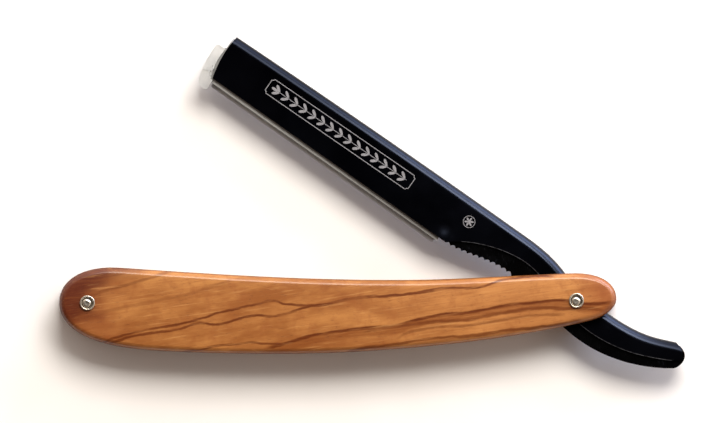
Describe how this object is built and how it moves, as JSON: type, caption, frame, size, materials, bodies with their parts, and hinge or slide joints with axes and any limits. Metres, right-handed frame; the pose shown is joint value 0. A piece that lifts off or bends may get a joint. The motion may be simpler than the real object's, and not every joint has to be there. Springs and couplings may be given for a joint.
{
  "type": "straight razor",
  "caption": "Folding straight razor with wooden scales, a black folded-sheet blade holder and a clip-in blade insert, partly open.",
  "frame": {"origin": "on the pivot's axis, at the flat end of the rear pivot pin head that the razor rests on", "axes": "+X along the handle from the butt to the pivot, +Z through the razor's thickness towards the front scale"},
  "size_m": [0.1441, 0.0763, 0.0116],
  "materials": {
    "olive_wood": "oiled, with dark grain lines",
    "black_sheet": "smooth semi-gloss black coating",
    "black_core": "satin black",
    "clear_plastic": "translucent white, moulded",
    "blade_steel": "ground, with a darker bevel",
    "nickel_silver": "polished nickel silver, peened",
    "brass": "plain rolled sheet",
    "black_plastic": "satin"
  },
  "bodies": {
    "handle": {"front_scale": "olive_wood", "rear_scale": "olive_wood", "butt_spacer": "black_plastic", "pivot_pin": "nickel_silver", "butt_pin": "nickel_silver", "pivot_collar_front": "nickel_silver", "pivot_collar_rear": "nickel_silver", "butt_collar_front": "nickel_silver", "butt_collar_rear": "nickel_silver", "thrust_washer_front": "brass", "thrust_washer_rear": "brass"},
    "holder": {"holder_shell": "black_sheet", "tang_core": "black_core"},
    "insert": {"blade_insert": "clear_plastic", "blade": "blade_steel"}
  },
  "joints": [
    {"name": "holder_pivot", "type": "hinge", "parent": "handle", "child": "holder", "pos_m": [0, 0, 0.0058], "axis": [0, 0, 1], "range_deg": [-235.4, 34.6]},
    {"name": "insert_slide", "type": "slide", "parent": "holder", "child": "insert", "axis": [-0.8231, 0.5678, 0], "range_m": [0, 0.0055]}
  ]
}
